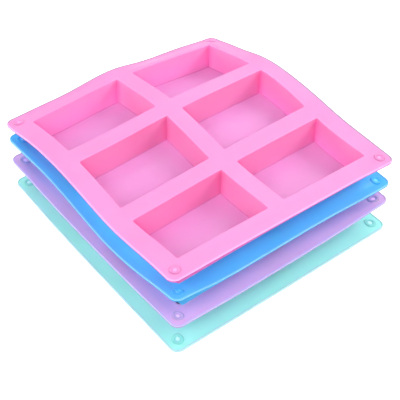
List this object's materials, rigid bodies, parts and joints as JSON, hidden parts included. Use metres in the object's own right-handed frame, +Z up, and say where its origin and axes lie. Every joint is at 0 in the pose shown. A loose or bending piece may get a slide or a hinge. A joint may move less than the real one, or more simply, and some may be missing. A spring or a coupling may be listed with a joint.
{
  "type": "silicone soap mould stack",
  "caption": "Stack of shallow rectangular silicone moulds in pink, blue, lavender and mint, each with rows of rectangular cavities in a flexible flange with corner bosses.",
  "frame": {"origin": "on the surface the stack stands on, under the middle of the stack", "axes": "+Z up, towards the open side of the cavities; +X along a cavity's long side; +Y along its short side, across the rows"},
  "size_m": [0.2074, 0.221, 0.0932],
  "materials": {
    "silicone_mint": "satin, slightly translucent",
    "silicone_lavender": "satin, slightly translucent",
    "silicone_blue": "satin, slightly translucent",
    "silicone_pink": "satin, slightly translucent"
  },
  "bodies": {
    "mint": {"mint_mould": "silicone_mint"},
    "lavender": {"lavender_mould": "silicone_lavender"},
    "blue": {"blue_mould": "silicone_blue"},
    "pink": {"pink_mould": "silicone_pink"}
  },
  "joints": [
    {"name": "lavender_lift", "type": "slide", "parent": "mint", "child": "lavender", "axis": [0, 0, 1], "range_m": [0, 0.05]},
    {"name": "blue_lift", "type": "slide", "parent": "lavender", "child": "blue", "axis": [0, 0, 1], "range_m": [0, 0.05]},
    {"name": "pink_lift", "type": "slide", "parent": "blue", "child": "pink", "axis": [0, 0, 1], "range_m": [0, 0.05]}
  ]
}
